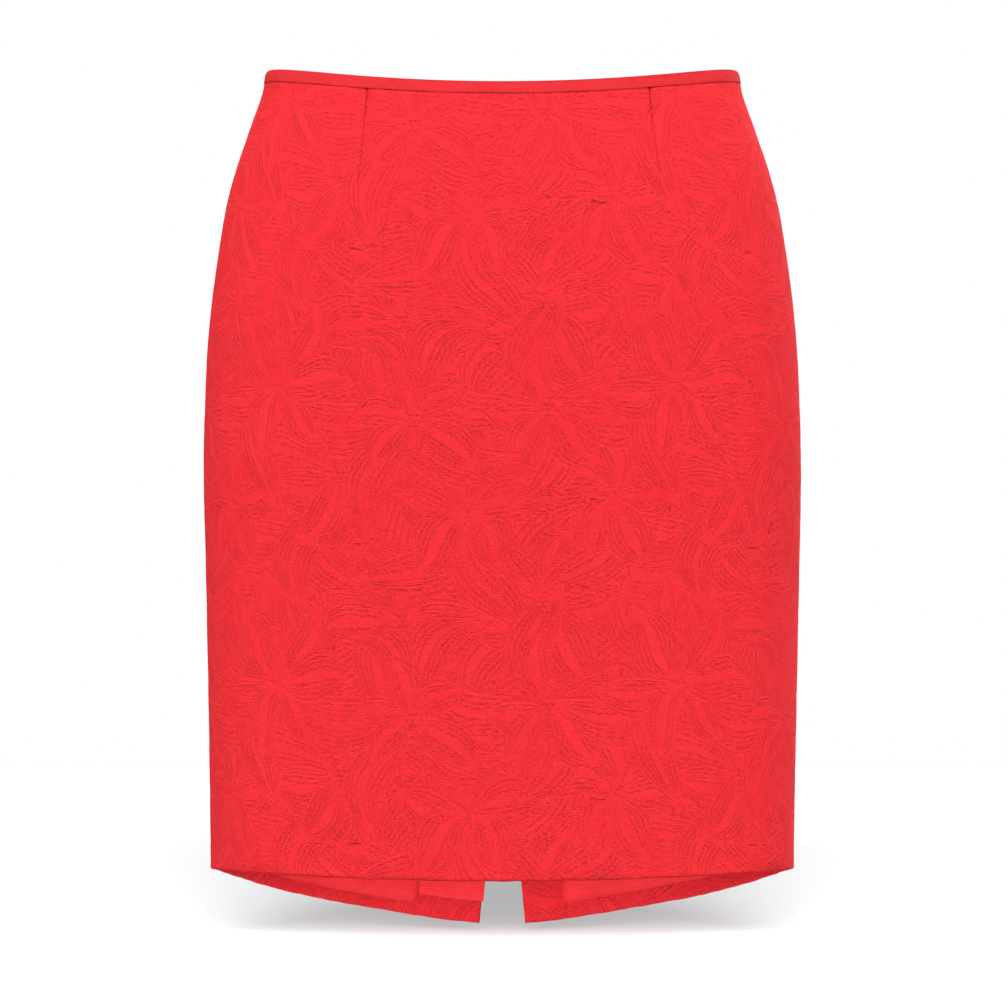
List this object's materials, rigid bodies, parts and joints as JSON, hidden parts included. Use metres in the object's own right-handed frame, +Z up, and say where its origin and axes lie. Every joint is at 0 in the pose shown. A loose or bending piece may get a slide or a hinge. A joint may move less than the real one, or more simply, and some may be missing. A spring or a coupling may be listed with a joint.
{
  "type": "pencil skirt",
  "caption": "Fitted knee-length pencil skirt in embossed cloth, worn form: darts, bound waist, back zip, back vent, lining.",
  "frame": {"origin": "centre of the waist opening, level with the top edge of the binding at the side seams, where the wearer's waist holds the skirt up", "axes": "+Z up along the body towards the waist, -Y towards the front of the skirt, +X towards the wearer's left"},
  "size_m": [0.3512, 0.2552, 0.5057],
  "materials": {
    "cloth": "matte embossed matelasse",
    "binding": "matte plain strip of the same cloth",
    "lining": "smooth, soft sheen",
    "tape": "matte woven tape",
    "painted": "gloss enamel"
  },
  "bodies": {
    "skirt": {"front_panel": "cloth", "back_panel_left": "cloth", "back_panel_right": "cloth", "waist_binding": "binding", "vent_facing": "cloth", "vent_underlap": "lining", "lining_front": "lining", "lining_back_left": "lining", "lining_back_right": "lining", "zip_tape": "tape", "zip_slider": "painted"},
    "pull": {"zip_pull": "painted"}
  },
  "joints": [
    {"name": "pull_swing", "type": "hinge", "parent": "skirt", "child": "pull", "pos_m": [0, 0.10754, -0.01567], "axis": [1, 0, 0], "range_deg": [0, 170]}
  ]
}
